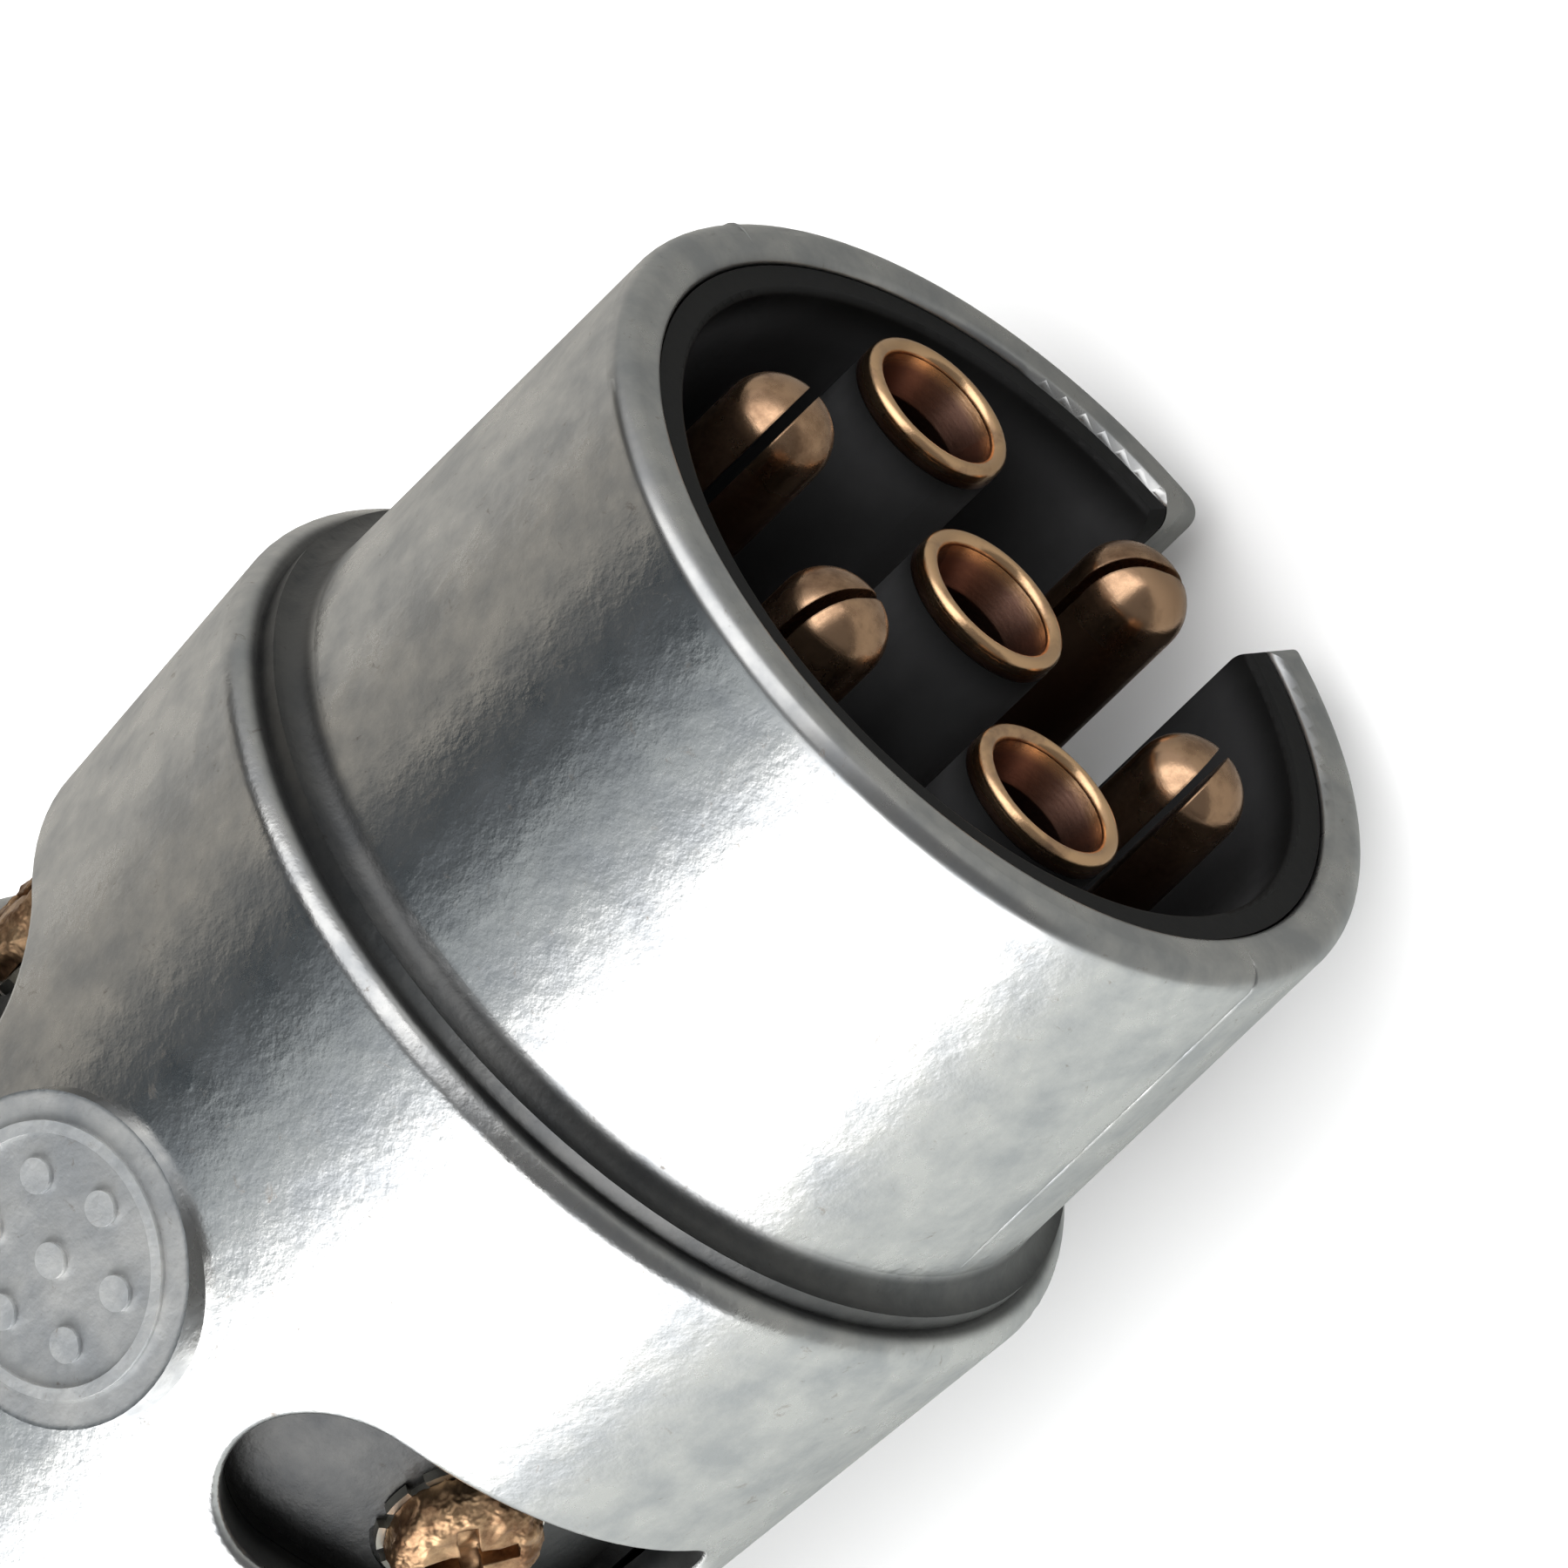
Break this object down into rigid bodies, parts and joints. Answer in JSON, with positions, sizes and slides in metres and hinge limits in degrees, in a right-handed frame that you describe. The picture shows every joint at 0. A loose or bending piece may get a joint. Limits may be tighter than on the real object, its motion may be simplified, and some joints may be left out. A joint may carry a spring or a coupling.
{
  "type": "trailer wiring connector",
  "caption": "Round cast metal trailer plug with a keyed barrel, split pin and sleeve contacts in a black insert, and a rear cable gland.",
  "frame": {"origin": "on the plug's axis at the root of the barrel, where its straight wall meets the collar", "axes": "+X out of the mouth along the axis, +Z to the round pad on top, keyway towards -Z"},
  "size_m": [0.0912, 0.0472, 0.0472],
  "materials": {
    "cast_metal": "satin",
    "black_moulding": "satin",
    "rubber": "matte",
    "plated_steel": "satin",
    "brass": "polished"
  },
  "bodies": {
    "plug": {"front_shell": "cast_metal", "rear_housing": "cast_metal", "contact_carrier": "black_moulding", "contact_retainer": "black_moulding", "carrier_bridge": "black_moulding", "carrier_seal": "rubber", "rear_gasket": "rubber", "cable_grommet": "rubber", "bridge_screws": "plated_steel", "rear_screws": "plated_steel", "terminal_screws": "plated_steel", "star_washers": "plated_steel", "socket_spring_rings": "plated_steel", "carrier_bushes": "brass", "carrier_screws": "brass", "pin_contact_top": "brass", "pin_contact_left": "brass", "pin_contact_right": "brass", "pin_contact_key": "brass", "socket_contact_centre": "brass", "socket_contact_left": "brass", "socket_contact_right": "brass"},
    "pressure_ring": {"pressure_ring": "plated_steel"},
    "gland_nut": {"gland_nut": "cast_metal"}
  },
  "joints": [
    {"name": "gland_travel", "type": "slide", "parent": "plug", "child": "pressure_ring", "axis": [-1, 0, 0], "range_m": [0, 0.0045]},
    {"name": "gland_turn", "type": "hinge", "parent": "pressure_ring", "child": "gland_nut", "pos_m": [-0.0664, 0, 0], "axis": [-1, 0, 0], "range_deg": [0, 1080]}
  ],
  "couplings": [
    {"joint": "gland_travel", "follows": "gland_turn", "m_per_rad": 0.00023873}
  ]
}
